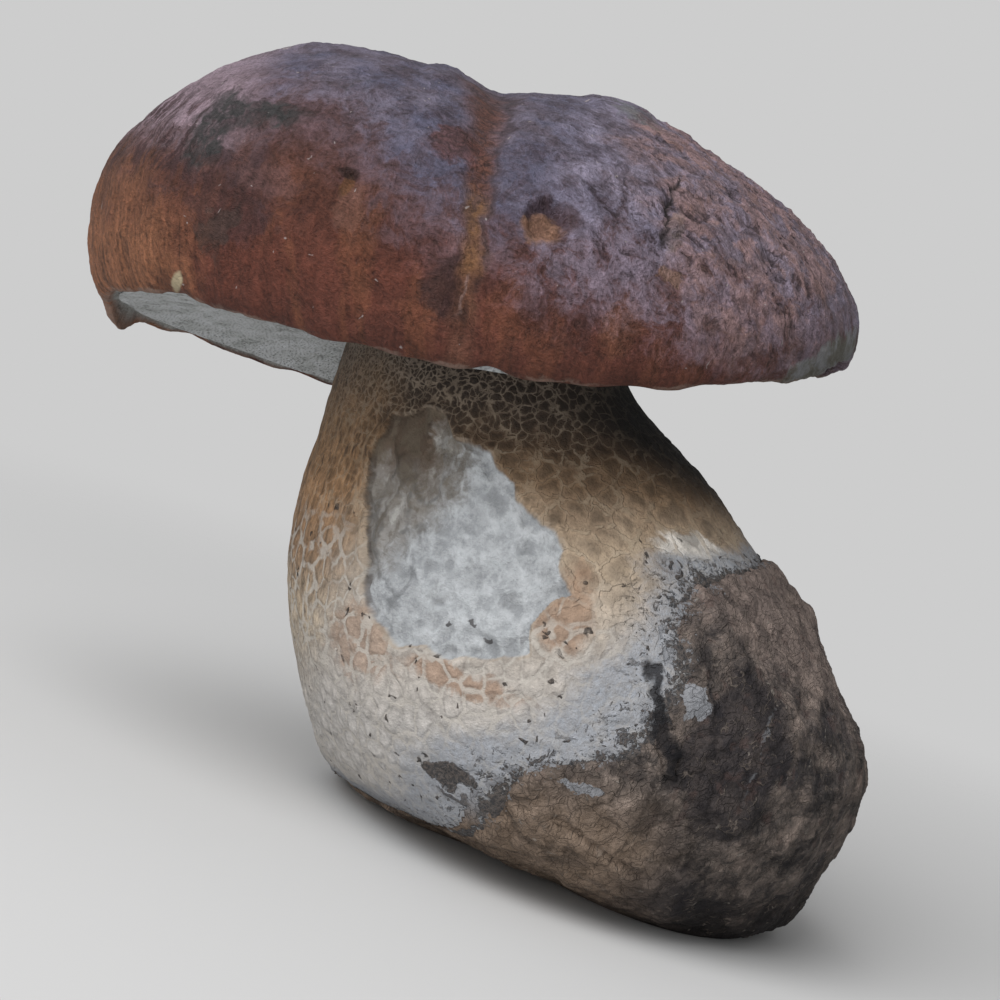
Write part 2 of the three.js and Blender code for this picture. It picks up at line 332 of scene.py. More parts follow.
def shingle(place, size):
    """Rises over each cell towards its lower edge, by 1 over the cell's size, and drops there"""
    sockets = {"Vector": place, "Scale": 1 / size}
    middle = place.node("ShaderNodeTexVoronoi", {"feature": "F1"}, sockets, 2)
    return place.vector("SUBTRACT", middle, place).parts()[2] / size


def specks(place, size, share):
    """1 in small round spots, one in each cell of a size where chance has it"""
    sockets = {"Vector": place, "Scale": 1 / size}
    middle = place.node("ShaderNodeTexVoronoi", {"feature": "F1"}, sockets)
    chance = Wire(place.tree, middle.socket.node.outputs[1]).parts()[0]
    return middle.ease(0.3, 0.16) * chance.ease(1 - share, 1 - 0.8 * share)


def cell_chance(place, size):
    """One chance value for all of each cell, 0 to 1"""
    sockets = {"Vector": place, "Scale": 1 / size}
    return place.node("ShaderNodeTexVoronoi", {"feature": "F1"}, sockets, 1).parts()[0]


def spot(place, centre, radii, ragged=0.0, size=6.0):
    """1 in the middle of an oval spot, 0 outside it, with an edge as ragged as told"""
    reach = far(stretched(place.vector("SUBTRACT", place, centre), *radii))
    if ragged:
        reach = reach + (cloud(place, size, 4.0, 0.6) - 0.5) * ragged
    return reach.ease(1.15, 0.7)


def any_of(first, *others):
    """The greatest of several masks"""
    for mask in others:
        first = first.most(mask)
    return first


def band(value, middle, reach, sharp=0.0):
    """1 along a band about a middle value, falling to 0 at its reach from a share of it on"""
    return (abs(value - middle) / reach).ease(1.0, sharp)


def tint(red, green, blue):
    """A colour from its screen values, 0 to 255"""
    linear = [((c / 255 + 0.055) / 1.055) ** 2.4 if c > 10 else c / 255 / 12.92 for c in (red, green, blue)]
    return (*linear, 1.0)


def blend(a, b, share):
    """One colour painted over another in a share; at least one of the three is a wire."""
    wire = next(value for value in (share, a, b) if isinstance(value, Wire))
    return wire.node("ShaderNodeMix", {"data_type": "RGBA"}, {0: share, 6: a, 7: b}, 2)


def ramp(value, *stops):
    """A colour that runs through (value, colour) stops"""
    low = stops[0][0]
    span = stops[-1][0] - low
    placed = [((at - low) / span, colour) for at, colour in stops]
    return value.node("ShaderNodeValToRGB", {"stops": placed}, {0: (value - low) / span})


def raise_relief(piece, height):
    """Moves a piece's skin out along its normals by height(tree), in mm, and keeps the moved mesh"""
    tree = bpy.data.node_groups.new(piece.name + " relief", "GeometryNodeTree")
    tree.interface.new_socket("Skin", in_out="INPUT", socket_type="NodeSocketGeometry")
    tree.interface.new_socket("Skin", in_out="OUTPUT", socket_type="NodeSocketGeometry")
    skin = Wire(tree).node("NodeGroupInput")
    normal = skin.node("GeometryNodeInputNormal")
    out = scaled(normal, height(tree) * 0.001)
    moved = skin.node("GeometryNodeSetPosition", (), {"Geometry": skin, "Offset": out})
    group_end = tree.nodes.new("NodeGroupOutput")
    tree.links.new(moved.socket, group_end.inputs[0])
    piece.modifiers.new("relief", "NODES").node_group = tree
    graph = bpy.context.evaluated_depsgraph_get()
    mesh = bpy.data.meshes.new_from_object(piece.evaluated_get(graph))
    piece.modifiers.clear()
    piece.data = mesh
    mesh.shade_smooth()


def finish(piece, name, paint, **constants):
    """Gives a piece its material: paint(tree) says what varies over it, as wires by socket name"""
    material = bpy.data.materials.new(name)
    material.use_nodes = True
    tree = material.node_tree
    shader = tree.nodes["Principled BSDF"]
    for socket, value in constants.items():
        shader.inputs[socket.replace("_", " ")].default_value = value
    for socket, wire in paint(tree).items():
        tree.links.new(wire.socket, shader.inputs[socket])
    piece.data.materials.clear()
    piece.data.materials.append(material)


def bumped(height):
    """The normal over a fine relief given in mm"""
    return height.node("ShaderNodeBump", (), {"Height": height, "Distance": 0.001, "Strength": 1.0})


NET_EYE = (-55, -10, 92)  # the net's meshes grow with the square of the distance from this point
NECK_AWAY = 28  # mm from that point to the neck
NECK_MESH = 1.0  # mm
WIDEST_MESH = 4.6
CORD = 0.17
FURROWS = (0.12, 0, 1)  # the way that the stem's fibres run
BITE = 4.6
TOOTH_MARK = 4.2


def rounded_edge(place, size):
    """How far each place is from its cell's wall, in mm, where the walls thicken at their corners"""
    into = cell_edge(place, size)
    corner = (cell_middle(place, size) - 0.42).most(0.0)
    return (into - 0.2 * corner) * size


def net(place):
    """The raised net: 1 along its cords, how far each place is from a cord, and the meshes' size"""
    strayed = wandered(wandered(place, 2.8, 1.1), 0.8, 0.4)
    off = place.vector("SUBTRACT", strayed, NET_EYE)
    apart = far(off)
    growth = NECK_MESH / NECK_AWAY**2
    folded = scaled(off, 1 / (apart * apart))
    fine = rounded_edge(folded, growth) * (apart * apart)
    wide = rounded_edge(stretched(wandered(strayed, 6, 1.6), 1.15, 1.15, 1), WIDEST_MESH)
    near = apart.ease(60, 52)
    into = near * fine + (1 - near) * wide
    size = (growth * apart * apart).least(WIDEST_MESH)
    return (into / CORD).ease(1.0, 0.0), into.most(0.0), size


def bitten_edge(tree, place):
    """How far inside the eaten patch a place is, in mm, as small bites leave its edge"""
    return known(tree, "eaten") - 1.1 * (cell_middle(place, BITE) - 0.5)


def eaten_away(tree, place):
    """1 in the eaten patch, with the scalloped edge that small bites leave"""
    return (bitten_edge(tree, place) + (cloud(place, 1.4) - 0.5) * 0.6).ease(-0.2, 0.25)


def toothed(place):
    """The place that the tooth marks follow, each twice as tall as wide"""
    return stretched(wandered(wandered(place, 5, 1.6), 1.4, 0.4), 1, 1, 2.1)


def scrapes(place):
    """The eaten patch's floor in mm, where its left side is, and the tooth marks there and lumps elsewhere"""
    x = place.parts()[0]
    left = (x + 41 + 6 * (cloud(place, 6) - 0.5)).ease(3, -4)
    strayed = wandered(wandered(place, 5, 1.6), 1.4, 0.4)
    tall = rounded_edge(toothed(place), TOOTH_MARK)
    lumps = rounded_edge(strayed, 3.8)
    marks = -0.7 * tall.ease(0.0, 1.2) * left - 0.55 * lumps.ease(0.0, 1.2) * (1 - left)
    return marks + 2.2 * (cloud(place, 4.4, 4.0, 0.6) - 0.5), left, tall, lumps


def stem_depth(place):
    """How far below the cap's rim a place is, in mm"""
    x, _, z = place.parts()
    return 77 + 0.19 * (x + 45) - z + (cloud(place, 8, 4.0, 0.6) - 0.5) * 9


def scaly(place):
    """1 low down on the left and on the right shoulder, where the net has broken into scales"""
    z = place.parts()[2]
    return (z + 10 * (cloud(place, 9) - 0.5)).ease(50, 38)


def stem_height(tree):
    """The stem's relief in mm"""
    place = known(tree, "place", True)
    gone = eaten_away(tree, place)
    cords, into, size = net(place)
    wide = size.ease(1.8, 3.6) * (-place.parts()[0]).ease(56, 50)
    flakes = scaly(place)
    cells = wide * (0.1 * cords + 0.3 * into.ease(0.1, 1.3)) * (1 - 0.7 * flakes)
    cells = cells + 0.3 * shingle(wandered(place, 5, 1.2), 3.0) * flakes * wide
    marks, left, _, _ = scrapes(place)
    hollow = -1.3 + 0.5 * left + marks
    lip = 0.3 * band(known(tree, "eaten"), -0.6, 0.9)
    furrows = 0.5 * (cloud(drawn_out(place, FURROWS, 6), 2.4) - 0.5) * (-place.parts()[0]).ease(46, 56)
    whole = cells + furrows + 0.9 * (cloud(place, 13) - 0.5) + 0.4 * (cloud(place, 4) - 0.5) + lip
    return whole * (1 - gone) + hollow * gone - 1.5 * known(tree, "buried").ease(1, 5)


raise_relief(stem, stem_height)


def earth_crack(place):
    """1 along the deep crack that runs down the earth on the front"""
    x, y, z = place.parts()
    middle = x + 1.0 - 0.5 * (33.6 - z) + 3 * (cloud(place, 4, 3.0) - 0.5)
    wide = 1.3 + 1.2 * band(z, 32, 5)
    return (abs(middle) / wide).ease(1.1, 0.4) * band(z, 34, 9, 0.75) * (-y).ease(20, 30)


def stem_paint(tree):
    """The stem's colours: its skin with the fungus's white threads, the net, the eaten flesh, and dirt"""
    place = known(tree, "place", True)
    x, _, z = place.parts()
    gone = eaten_away(tree, place)
    buried = known(tree, "buried")
    cords, into, size = net(place)
    depth = stem_depth(place)
    rough = wandered(wandered(place, 4, 2.2), 1.1, 0.8)
    mottle = cloud(place, 2.4, 5.0, 0.7)
    powdery = cloud(place, 0.8, 4.0, 0.75)
    fibres = cloud(drawn_out(wandered(place, 4, 0.9), FURROWS, 8), 0.8, 3.0, 0.65)
    at_left = (-x + 8 * (mottle - 0.5)).ease(48, 57)

    skin = ramp(
        depth, (0, tint(58, 49, 43)), (9, tint(66, 55, 47)), (15, tint(84, 66, 50)), (20, tint(126, 103, 80)),
        (25, tint(160, 140, 118)), (30, tint(160, 143, 123)), (40, tint(168, 158, 147)),
        (60, tint(176, 172, 168)),
    )
    gold = ramp(
        depth, (4, tint(78, 65, 54)), (16, tint(118, 92, 67)), (26, tint(136, 105, 76)),
        (36, tint(131, 106, 83)), (46, tint(162, 147, 127)), (60, tint(172, 165, 157)),
    )
    skin = blend(skin, gold, at_left)
    skin = scaled(skin, 1 + at_left * depth.ease(2, 14) * (2.6 * fibres - 1.3))
    deep_shade = (x + 6 * (mottle - 0.5)).ease(-34, -16) * (z + 0.3 * x).ease(61, 67)
    skin = blend(skin, tint(12, 10, 9), 0.93 * deep_shade)

    reach = 6 + 9 * z.ease(50, 34) + 6 * z.ease(51, 56) + 12 * (cloud(rough, 6, 4.0, 0.7) - 0.5)
    powder = (buried + reach).ease(-3, 5) * (1 - deep_shade)
    golden = spot(rough, (-21, -30, 60), (8, 14, 5), 1.0, 5)
    skin = blend(skin, tint(92, 73, 56), 0.5 * golden)
    white_shoulder = spot(rough, (-0.5, -25, 56.8), (9.5, 14, 3), 0.9, 4)
    skin = blend(skin, tint(216, 210, 202), 0.95 * white_shoulder)
    blush = any_of(
        spot(rough, (-19.0, -34, 44), (4.5, 14, 7), 0.9, 5),
        spot(rough, (-30, -34, 29.5), (10, 14, 2.2), 1.0, 4),
        spot(rough, (-46, -26, 29), (6, 12, 6), 1.0, 4) * 0.8,
    )
    skin = blend(skin, tint(148, 119, 97), 0.72 * blush)
    skin = scaled(skin, 0.04 + 1.1 * mottle + 0.74 * powdery)
    dusting = powder * (0.35 + 1.1 * powdery).least(1.0) * (0.75 + 0.5 * mottle).least(1.0)
    threads = blend(tint(136, 138, 143), tint(146, 150, 157), mottle)
    skin = blend(skin, scaled(threads, 0.3 + 1.3 * powdery), dusting)

    flakes = scaly(place)
    low = depth.ease(22, 30)
    at_neck = depth.ease(18, 6)
    lines = cords * (0.2 + 0.8 * cloud(place, 2.6, 3.0).ease(0.4, 0.58).most(0.6 * at_neck))
    cord_colour = ramp(
        depth, (0, tint(132, 120, 109)), (12, tint(126, 112, 96)), (20, tint(130, 113, 93)),
        (27, tint(168, 152, 131)), (34, tint(186, 177, 164)), (44, tint(180, 178, 176)),
    )
    bare = (1 - 0.7 * powder) * (1 - 0.88 * deep_shade) * (1 - 0.85 * flakes) * (1 - 0.3 * at_left)
    bare = bare * (1 - 0.75 * depth.ease(26, 36))
    # The net's meshes are darker than its cords: partly the skin's own colour, partly painted shade in the
    # hollows between the raised cords.
    in_mesh = (into / size).ease(0.02, 0.3) * (0.5 + cloud(place, 5, 2.0))
    skin = scaled(skin, 1.16 + 0.14 * at_neck - (0.46 + 0.3 * at_neck) * in_mesh * bare)
    skin = blend(skin, cord_colour, (lines * bare * (0.85 - 0.25 * depth.ease(14, 24))).least(1.0))
    strayed = wandered(wandered(place, 5, 1.4), 1.6, 0.25)
    petals = rounded_edge(stretched(strayed, 1, 1, 1.3), 3.0)
    plain = flakes * (1 - 0.7 * powder)
    skin = scaled(skin, 1 - 0.2 * petals.ease(0.9, 0.1) * plain)
    petal_lines = petals.ease(0.26, 0.0) * plain * cloud(place, 3).ease(0.36, 0.54)
    skin = blend(skin, tint(186, 180, 172), 0.7 * petal_lines)
    # Painted shadows: dark crescents along one side of the belly's meshes, beside the raised cords.
    cord_shadows = shingle(wandered(strayed, 3, 0.8), 3.6).ease(0.3, 0.5) * cloud(place, 5).ease(0.48, 0.6)
    skin = blend(skin, tint(84, 68, 56), 0.4 * cord_shadows * low * depth.ease(40, 32) * (1 - at_left))
    pits = cloud(drawn_out(strayed, FURROWS, 2.6), 1.3, 3.0, 0.6).ease(0.54, 0.64)
    pits = pits * cloud(place, 5).ease(0.42, 0.56) * (-x).ease(45, 50) * depth.ease(34, 24)
    skin = blend(skin, tint(56, 43, 34), 0.7 * pits)

    marks, left, tall, lumps = scrapes(place)
    flesh = blend(tint(158, 161, 164), tint(180, 183, 186), mottle.ease(0.42, 0.58))
    # Painted shade and light: the eaten flesh is darker in the dips of its scrapes and paler on their tops.
    flesh = scaled(flesh, (0.97 + 0.3 * marks).least(1.1).most(0.7))
    grey = (x + 39.5 + 0.55 * (55 - z).most(0.0) + 9 * (mottle - 0.5)).ease(3, -3)
    flesh = blend(flesh, tint(138, 134, 129), 0.85 * grey)
    dried = (z + 8 * (mottle - 0.5)).ease(51, 59) * (x + 5 * (powdery - 0.5)).ease(-40, -46)
    flesh = blend(flesh, tint(84, 67, 52), 0.92 * dried)
    white_top = spot(rough, (-43.2, -25, 62.2), (2.8, 8, 2.6), 1.0, 3)
    flesh = blend(flesh, tint(160, 158, 154), 0.8 * white_top)
    # Painted shadow along the walls of the tooth marks.
    hollow_edge_shadow = 1.3 * tall.ease(0.45, 0.0) * left
    flesh = scaled(flesh, 1 - 0.34 * hollow_edge_shadow * cloud(place, 4).ease(0.36, 0.55))
    mark_tone = cell_chance(toothed(place), TOOTH_MARK)
    flesh = scaled(flesh, 1 + (0.44 * mark_tone - 0.26) * grey)
    stained = cloud(rough, 4.5, 4.0, 0.65).ease(0.48, 0.58) * grey * z.ease(44, 54)
    flesh = blend(flesh, tint(104, 95, 82), 0.55 * stained)
    # Painted highlight along the thin ridges between the lumps.
    lit_ridge = lumps.ease(0.4, 0.0) * (1 - left) * cloud(place, 3).ease(0.42, 0.6)
    flesh = blend(flesh, tint(186, 190, 193), 0.5 * lit_ridge)
    # Painted shade: grey in the dips between the lumps.
    dip_shade = cloud(rough, 3, 4.0, 0.65).ease(0.56, 0.68) * (1 - left)
    flesh = blend(flesh, tint(126, 126, 125), 0.28 * dip_shade)
    pale_side = (tall - 0.75).most(0.0).ease(0.0, 0.5) * left * cloud(place, 2.2).ease(0.5, 0.6)
    flesh = blend(flesh, tint(178, 177, 172), 0.6 * pale_side * grey * (1 - dried))
    smears = cloud(drawn_out(rough, FURROWS, 4), 1.6, 3.0).ease(0.46, 0.64) * grey
    flesh = blend(flesh, tint(88, 78, 66), 0.5 * smears)
    slit = spot(drawn_out(rough, (0.5, 0, -0.86), 2.2), (-31.5, -27, 55.5), (0.5, 6, 0.9), 0.3, 1.5)
    flesh = blend(flesh, tint(50, 44, 38), 0.85 * slit)
    flesh = scaled(flesh, 0.8 + 0.4 * powdery)
    bits = any_of(
        spot(rough, (-31.5, -34, 38.3), (0.9, 8, 0.5), 0.6, 1),
        spot(rough, (-34.5, -33, 36.6), (0.5, 8, 0.4), 0.6, 1),
        spot(rough, (-28.5, -34, 36.4), (0.6, 8, 0.4), 0.6, 1),
        0.6 * specks(rough, 3.4, 0.1),
    )
    flesh = blend(flesh, tint(58, 54, 54), 0.8 * bits)
    colour = blend(skin, flesh, gone)

    edge = bitten_edge(tree, place)
    rim = band(edge, -0.25, 0.35, 0.3) * (1 - gone)
    colour = blend(colour, tint(164, 150, 134), 0.45 * rim * (1 - at_left) * cloud(place, 4).ease(0.4, 0.55))
    dark_line = band(edge, 0.2, 0.4, 0.3) * (-x).ease(44, 47) * cloud(place, 3.5).ease(0.4, 0.52)
    colour = blend(colour, tint(60, 48, 40), 0.55 * dark_line)

    earth_near = (buried + 5 * (mottle - 0.5)).ease(-13, -1)
    dirt = specks(rough, 1.6, 0.16) + specks(rough, 0.75, 0.3) * earth_near
    smear = cloud(drawn_out(rough, (0.9, 0, 0.3), 3), 1.5, 4.0, 0.75).ease(0.57, 0.66) * earth_near
    smear = smear.most((buried + 14 * (mottle - 0.5) + 15 * (powdery - 0.5)).ease(-1.6, 0.0))
    island = spot(rough, (-27.5, -33, 15.6), (4.6, 8, 2.0), 1.3, 3)
    streaked = spot(rough, (-22, -36, 12.5), (9.0, 9, 0.9), 1.5, 2)
    island = (island + 0.9 * (powdery - 0.5)).ease(0.25, 0.75)
    dirt = any_of((dirt * low + smear) * (1 - gone), island, 0.8 * streaked).least(1.0)
    grains = cloud(place, 0.6, 4.0, 0.8)
    colour = blend(colour, blend(tint(38, 35, 35), tint(100, 90, 83), grains.ease(0.4, 0.6)), 0.88 * dirt)
    # Painted shadow: near black along the earth's crack.
    colour = blend(colour, tint(26, 26, 30), 0.9 * earth_crack(rough) * (1 - gone))

    grain = 0.3 * cloud(place, 0.6, 3.0, 0.75) + 0.6 * at_left * (1 - gone) * fibres + 0.3 * mottle
    weave = (0.24 * cords + 0.1 * into.least(0.9)) * (1 - gone) * (1 - flakes) * (1 - 0.6 * at_left)
    flaky = 0.15 * petals.ease(0.0, 0.6) * plain * (1 - gone)
    soiled = (0.6 * grains + 0.25) * dirt
    return {"Base Color": colour, "Normal": bumped(grain + weave + flaky + soiled)}


finish(stem, "stem skin", stem_paint, Roughness=0.78, Specular_IOR_Level=0.3)
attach(stem, "root")
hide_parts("stem")

# Soil crust: damp black earth, leaf mould and fine roots that came up with the stem and dried on its foot,
# one or two millimetres thick. It holds by itself, and flakes off at its ragged edge.

CRUST_TOP = 62


def crust_place(azimuth, down):
    spread, share = spread_and_share(down)
    z = CRUST_TOP * (1 - share)
    mm = stem_skin(azimuth, z, spread, 0)
    return stem_skin(azimuth, z, spread, 0.9 * ease(in_soil(mm), -1, 2.5) - 0.4)


soil, soil_mm = grown("soil", 460, 168, crust_place)
note(soil, place=soil_mm, buried=in_soil(soil_mm))
bm = bmesh.new()
bm.from_mesh(soil.data)
bmesh.ops.delete(bm, geom=[v for v, mm in zip(bm.verts, in_soil(soil_mm)) if mm < -4], context="VERTS")
bmesh.ops.solidify(bm, geom=bm.faces, thickness=0.0012)
bm.to_mesh(soil.data)
bm.free()


def crust_reach(tree, z):
    """How far past the soil's edge a place is, in mm, where the crust bulges over it beside the crack"""
    return known(tree, "buried") + 2.2 * band(z, 34, 9, 0.2)


def covering(tree, place):
    """1 where earth covers the stem, 0 past its ragged edge"""
    ragged = (cloud(wandered(place, 3, 1.2), 4, 5.0, 0.7) - 0.5) * 6
    return (crust_reach(tree, place.parts()[2]) + 1.0 + ragged).ease(-0.3, 0.6)


def soil_height(tree):
    """The crust's relief in mm"""
    place = known(tree, "place", True)
    x, y, z = place.parts()
    covered = covering(tree, place)
    strayed = wandered(place, 8, 2.5)
    clods = 2.2 * (cloud(strayed, 10, 2.0) - 0.5) + 2.2 * (cell_middle(strayed, 11.0) - 0.5)
    clods = clods + 0.8 * (cell_middle(wandered(place, 3, 1.2), 3.4) - 0.5)
    grit = 1.1 * (cloud(place, 2.0, 5.0, 0.75) - 0.5)
    middle = z - 12.8 + 0.25 * (x + 4) + 3 * (cloud(place, 4) - 0.5)
    wrinkle = -0.9 * band(middle, 0, 0.9) * band(x, -4, 9, 0.7) * (-y).ease(20, 30)
    whole = (clods + grit - 1.5 * earth_crack(place) + wrinkle) * z.ease(0.0, 3.0)
    return whole * covered - 1.6 * (1 - covered)


raise_relief(soil, soil_height)


def soil_paint(tree):
    """The earth's colours: its clods and damp places, painted shade in its creases, roots, grit, the powder
    at its edge, and the painted shadow in the crack
    """
    place = known(tree, "place", True)
    x, y, z = place.parts()
    rough = wandered(wandered(place, 4, 2.5), 1.1, 0.9)
    tone = cloud(rough, 5, 6.0, 0.72)
    fine = cloud(place, 0.9, 4.0, 0.75)
    colour = ramp(
        tone, (0.34, tint(46, 44, 45)), (0.45, tint(82, 76, 73)), (0.56, tint(120, 109, 102)),
        (0.7, tint(150, 135, 126)),
    )
    top = (z + 0.35 * x + 14 * (tone - 0.5)).ease(44, 56)
    colour = blend(colour, tint(158, 141, 133), 0.6 * top)
    strip = (z + 10 * (tone - 0.5)).ease(27, 12) * (-x).ease(-14, 2)
    colour = blend(colour, tint(142, 122, 104), 0.7 * strip)
    heart = spot(rough, (11.5, -38, 31.5), (9, 14, 14), 1.2, 6)
    colour = blend(colour, tint(46, 43, 46), 0.75 * heart)
    damp = cloud(place, 12, 4.0, 0.6).ease(0.48, 0.62) * (x - 0.4 * z).ease(-12, 12)
    colour = blend(colour, tint(48, 48, 55), 0.65 * damp)
    low = (z + 9 * (tone - 0.5)).ease(17, 5) * x.ease(4, 16)
    colour = blend(colour, tint(34, 31, 32), 0.8 * low)
    # Painted shade: darker along the creases between the clods.
    creases = rounded_edge(wandered(wandered(place, 8, 2.5), 2, 0.8), 8.0).ease(0.9, 0.05)
    colour = blend(colour, tint(40, 37, 38), 0.4 * creases * cloud(place, 7).ease(0.45, 0.56))
    strands = cloud(drawn_out(rough, (0.8, 0.2, 0.55), 4), 0.9, 3.0, 0.6)
    cross = cloud(drawn_out(rough, (0.3, 0.2, -0.9), 5), 0.8, 3.0, 0.6)
    colour = scaled(colour, (1.0 * strands + 0.8 * cross + 0.8 * fine - 0.34).most(0.3))
    pale_hairs = cell_edge(drawn_out(wandered(place, 3, 2.4), (0.6, 0.3, 0.7), 5), 1.7).ease(0.06, 0.0)
    colour = blend(colour, tint(140, 128, 118), 0.5 * pale_hairs * cloud(place, 2.4).ease(0.5, 0.62))
    grains = specks(rough, 1.4, 0.08)
    colour = blend(colour, tint(150, 142, 134), 0.6 * grains)
    red = cloud(place, 3, 3.0).ease(0.58, 0.68) * (z - 14).ease(0, 12)
    colour = blend(colour, tint(96, 76, 70), 0.35 * red)

    edge = crust_reach(tree, z) + 14 * (tone - 0.5) + 15 * (fine - 0.5)
    upper_island = spot(rough, (2.6, -38.5, 37.8), (3.0, 9, 2.6), 1.3, 2)
    lower_island = spot(rough, (-9.8, -41, 21.2), (3.4, 8, 1.2), 1.4, 2)
    islands = (upper_island.most(lower_island) + 1.1 * (fine - 0.5)).ease(0.3, 0.7)
    threads = band(x + 4 * (cloud(place, 3) - 0.5), 15, 0.5) * band(z, 33, 8, 0.5)
    threads = 0.5 * threads * (-y).ease(10, 25) * cloud(place, 1.4).ease(0.48, 0.56)
    powder = any_of(edge.ease(0.6, -0.8) * z.ease(8, 14), islands, threads)
    white = blend(tint(138, 140, 146), tint(154, 156, 160), tone)
    colour = blend(colour, scaled(white, 0.5 + 1.0 * fine), 0.9 * powder)
    # Painted shadow: near black along the crack.
    colour = blend(colour, tint(26, 26, 30), 0.85 * earth_crack(rough))
    relief = 0.3 * (strands + cross + pale_hairs) + 0.9 * fine + 0.2 * grains - 0.5 * creases
    return {"Base Color": colour, "Normal": bumped(relief)}


finish(soil, "damp earth", soil_paint, Roughness=0.92, Specular_IOR_Level=0.2)
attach(soil, "root")
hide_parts("soil_crust")

# Tube layer: the spongy mat of fine tubes that hangs under the cap and opens downwards in pores. It is
# grey-white in a young mushroom, grows on the cap's flesh, and peels away from it in one piece.

CAP_CENTRE = Vector((-45.4, 0, 77.2))
cap_frame = (
    Matrix.Translation(CAP_CENTRE)
    @ Matrix.Rotation(-math.radians(11), 4, "Y")
    @ Matrix.Rotation(-math.radians(4.5), 4, "X")
)


def from_cap(x, y, z):
    """Places in the cap's own frame, as places in mm"""
    places = np.stack([x, y, z], axis=1)
    return places @ np.array(cap_frame.to_3x3()).T + np.array(CAP_CENTRE)


def faces_right(azimuth):
    """1 on the cap's right, 0 on its left"""
    return (1 + np.cos(azimuth)) / 2


# The rim's height over the cap's plane, by azimuth in degrees
rim_curve = through(
    (-210, -4), (-180, -1), (-150, -1), (-120, -5), (-90, -7.8), (-60, -7.6), (-30, -3), (0, 1), (30, 1),
    (60, -2), (90, -6), (120, -8), (150, -4), (180, -1), (210, -1),
)


def rim_height(azimuth):
    return rim_curve(np.degrees(azimuth))


def widest_above_rim(azimuth):
    """How high over its rim the cap is widest, in mm"""
    return 12 - 5 * faces_right(azimuth)


def tucked_in(azimuth):
    """How far the rim turns in under the cap's widest place, in mm"""
    return 4.2 - 1.2 * faces_right(azimuth)


def cap_radius(azimuth):
    depth = 49 * (0.92 + 0.11 * faces_right(azimuth))
    oval = 1 / np.hypot(np.cos(azimuth) / 61.7, np.sin(azimuth) / depth)
    return oval * (1 + 0.012 * np.sin(3 * azimuth + 0.6) + 0.008 * np.sin(5 * azimuth))


def rim_radius(azimuth):
    return cap_radius(azimuth) - tucked_in(azimuth)


def tube_place(azimuth, down):
    """A flat top that the cap hides, a narrow side, and the pore face that follows the rim"""
    radius = rim_radius(azimuth) - 1.4
    top = np.clip(down / 0.1, 0, 1)
    share = np.where(down < 0.1, top * 0.97, 1 - np.clip((down - 0.12) / 0.88, 0, 1))
    share = np.where((down >= 0.1) & (down < 0.12), 0.97 + 0.03 * (down - 0.1) / 0.02, share)
    below = rim_height(azimuth) * share**1.5 + 1.5 - 1.2 * share**6 - 1.6 * np.sin(math.pi * share) ** 2
    z = np.where(down < 0.11, 6, below)
    return from_cap(radius * share * np.cos(azimuth), radius * share * np.sin(azimuth), z)


tubes, tubes_mm = grown("tubes", 300, 120, tube_place)
note(tubes, place=tubes_mm)


def tubes_height(tree):
    place = known(tree, "place", True)
    return 0.5 * (cloud(place, 6) - 0.5) + 0.3 * (cloud(place, 1.6) - 0.5)


raise_relief(tubes, tubes_height)


def tubes_paint(tree):
    place = known(tree, "place", True)
    holes = cell_middle(place, 0.62, 0.8)
    tone = cloud(wandered(place, 3, 1.5), 4, 5.0, 0.7)
    colour = ramp(tone, (0.34, tint(146, 149, 148)), (0.46, tint(176, 179, 180)), (0.65, tint(192, 195, 198)))
    # Painted shade: darker in the pores' mouths, in the darker patches of the layer.
    colour = blend(colour, tint(112, 112, 108), 0.5 * holes.ease(0.45, 0.1) * tone.ease(0.6, 0.4))
    return {"Base Color": colour, "Normal": bumped(0.25 * holes.ease(0.0, 0.6) + 0.2 * cloud(place, 1.2))}


finish(tubes, "pores", tubes_paint, Roughness=0.8, Specular_IOR_Level=0.25)
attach(tubes, "root")
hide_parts("tube_layer")

# Cap: firm white flesh under a thin, faintly greasy skin, chestnut brown with a grey bloom on its two crowns,
# where a painted bluish sheen also stands for the room's light reflected on the top.
# It has dried into wrinkles on one side, split down a crease between the crowns, and been nibbled in two
# places. It sits on the stem's head, round which the tube layer closes.

CAP_TOP = 39.6  # mm over the cap's own plane
DOME = 0.72  # the share of the rows that the dome takes
TUCK = 0.2  # the share that turns in to the rim
LIP = 0.02


def cap_swell(x, y):
    left_crown = 5 * swell((x + 29.5) / 19, (y + 2) / 32)
    right_crown = 2.4 * swell((x - 23) / 12, (y - 4) / 24)
    saddle = -0.9 * swell((x - 3) / 10, y / 30)
    crease = -1.5 * swell((x - 0.5 + 0.03 * y) / 3.4) * ease(-y, -4, 14) * ease(58 + y, 0, 14)
    return left_crown + right_crown + saddle + crease


